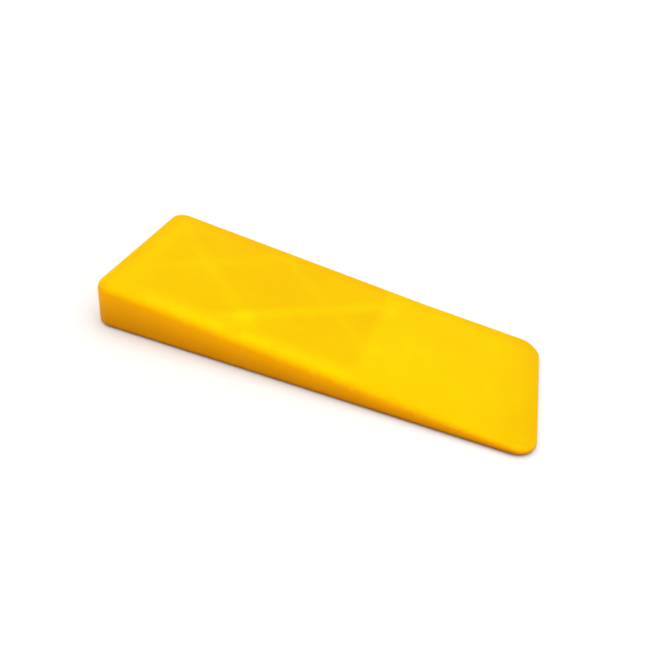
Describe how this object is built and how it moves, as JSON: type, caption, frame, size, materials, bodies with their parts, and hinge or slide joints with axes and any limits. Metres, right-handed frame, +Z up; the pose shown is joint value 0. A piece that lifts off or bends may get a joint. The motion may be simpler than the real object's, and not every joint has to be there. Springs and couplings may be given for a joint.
{
  "type": "felling wedge",
  "caption": "Yellow plastic felling wedge: flat underside, sloping upper face, thick striking butt and thin rounded tip, with cross-ribbed pockets open underneath.",
  "frame": {"origin": "middle of the flat underside's length and width", "axes": "+X from the struck butt to the thin tip, +Y across the width, +Z up from the underside to the sloping upper face"},
  "size_m": [0.2, 0.08, 0.0216],
  "materials": {
    "wedge_body": "satin moulded, slightly translucent yellow plastic"
  },
  "bodies": {
    "root": {"wedge_body": "wedge_body"}
  },
  "joints": []
}
